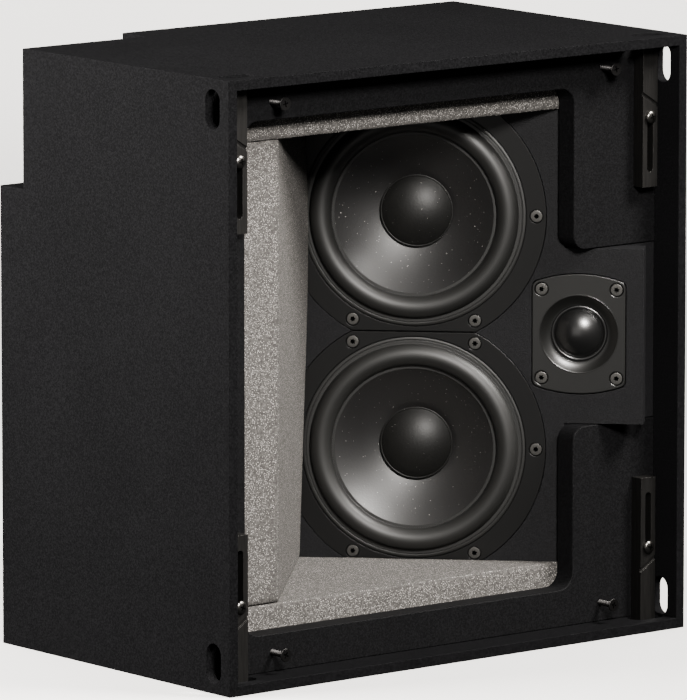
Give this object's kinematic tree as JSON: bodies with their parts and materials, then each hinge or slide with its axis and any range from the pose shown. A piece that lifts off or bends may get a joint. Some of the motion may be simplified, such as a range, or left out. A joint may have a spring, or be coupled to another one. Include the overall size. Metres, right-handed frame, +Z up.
{
  "type": "ceiling speaker",
  "caption": "Box-shaped ceiling loudspeaker with woofers and a dome tweeter on an angled baffle in a foam-lined well, and sliding clamp bars inside the front rim.",
  "frame": {"origin": "under the middle of the cabinet, on the plane that it stands on", "axes": "+Z up as pictured, the open front faces -Y, +X to the right seen from the front"},
  "size_m": [0.388, 0.243, 0.4],
  "materials": {
    "painted_board": "fine textured black paint on fibreboard",
    "panel_paint": "matt black paint on fibreboard",
    "baffle_paint": "matt black paint on fibreboard",
    "foam": "open-cell foam, cut faces",
    "frame_paint": "satin black paint on a cast frame",
    "surround_rubber": "moulded rubber",
    "cone": "mineral-filled polypropylene",
    "dust_cap": "matt",
    "former": "lacquered wire on a foil former",
    "spider_cloth": "resin-dipped cloth",
    "motor_steel": "zinc plated",
    "ferrite": "ground ferrite",
    "driver_screw": "black oxide",
    "bar_steel": "dark oxide, rubbed",
    "tweeter_plate": "satin dark grey",
    "dome_cloth": "doped cloth, glossy",
    "clamp_screw": "zinc plated",
    "terminal_plate": "moulded",
    "terminal_brass": "plated",
    "crossover_board": "glass-fibre board",
    "copper": "enamelled copper wire",
    "capacitor": "film wrap"
  },
  "bodies": {
    "cabinet": {"back_panel": "painted_board", "baffle": "baffle_paint", "baffle_end_block": "painted_board", "bottom_foam": "foam", "bottom_panel": "painted_board", "clamp_bar_screws": "clamp_screw", "crossover_board": "crossover_board", "crossover_capacitors": "capacitor", "crossover_coils": "copper", "crossover_standoffs": "terminal_plate", "left_foam": "foam", "left_side_panel": "painted_board", "lower_woofer_basket": "frame_paint", "lower_woofer_magnet": "ferrite", "lower_woofer_screws": "driver_screw", "lower_woofer_spider": "spider_cloth", "lower_woofer_surround": "surround_rubber", "lower_woofer_top_plate": "motor_steel", "lower_woofer_yoke": "motor_steel", "mounting_panel": "panel_paint", "negative_terminal": "terminal_brass", "positive_terminal": "terminal_brass", "recess_back_panel": "painted_board", "recess_floor_panel": "painted_board", "recess_side_panel": "painted_board", "right_side_panel": "painted_board", "spare_clamp_screws": "clamp_screw", "terminal_plate": "terminal_plate", "terminal_plate_screws": "driver_screw", "top_foam": "foam", "top_panel": "painted_board", "tweeter_dome": "dome_cloth", "tweeter_faceplate": "tweeter_plate", "tweeter_magnet": "ferrite", "tweeter_screws": "driver_screw", "tweeter_top_plate": "motor_steel", "tweeter_voice_coil": "former", "tweeter_yoke": "motor_steel", "upper_woofer_basket": "frame_paint", "upper_woofer_magnet": "ferrite", "upper_woofer_screws": "driver_screw", "upper_woofer_spider": "spider_cloth", "upper_woofer_surround": "surround_rubber", "upper_woofer_top_plate": "motor_steel", "upper_woofer_yoke": "motor_steel", "well_side_panel": "painted_board"},
    "upper_cone_assembly": {"upper_woofer_cone": "cone", "upper_woofer_dust_cap": "dust_cap", "upper_woofer_voice_coil": "former"},
    "lower_cone_assembly": {"lower_woofer_cone": "cone", "lower_woofer_dust_cap": "dust_cap", "lower_woofer_voice_coil": "former"},
    "upper_left_bar": {"upper_left_clamp_bar": "bar_steel"},
    "upper_right_bar": {"upper_right_clamp_bar": "bar_steel"},
    "lower_left_bar": {"lower_left_clamp_bar": "bar_steel"},
    "lower_right_bar": {"lower_right_clamp_bar": "bar_steel"}
  },
  "joints": [
    {"name": "upper_cone_excursion", "type": "slide", "parent": "cabinet", "child": "upper_cone_assembly", "axis": [-0.7071, -0.7071, 0], "range_m": [-0.004, 0.004], "stiffness_N_per_m": 1100, "deforming": ["upper_woofer_surround", "upper_woofer_spider"]},
    {"name": "lower_cone_excursion", "type": "slide", "parent": "cabinet", "child": "lower_cone_assembly", "axis": [-0.7071, -0.7071, 0], "range_m": [-0.004, 0.004], "stiffness_N_per_m": 1100, "deforming": ["lower_woofer_surround", "lower_woofer_spider"]},
    {"name": "upper_left_bar_slide", "type": "slide", "parent": "cabinet", "child": "upper_left_bar", "axis": [0, 0, 1], "range_m": [0, 0.034]},
    {"name": "upper_right_bar_slide", "type": "slide", "parent": "cabinet", "child": "upper_right_bar", "axis": [0, 0, 1], "range_m": [0, 0.034]},
    {"name": "lower_left_bar_slide", "type": "slide", "parent": "cabinet", "child": "lower_left_bar", "axis": [0, 0, -1], "range_m": [0, 0.034]},
    {"name": "lower_right_bar_slide", "type": "slide", "parent": "cabinet", "child": "lower_right_bar", "axis": [0, 0, -1], "range_m": [0, 0.034]}
  ]
}
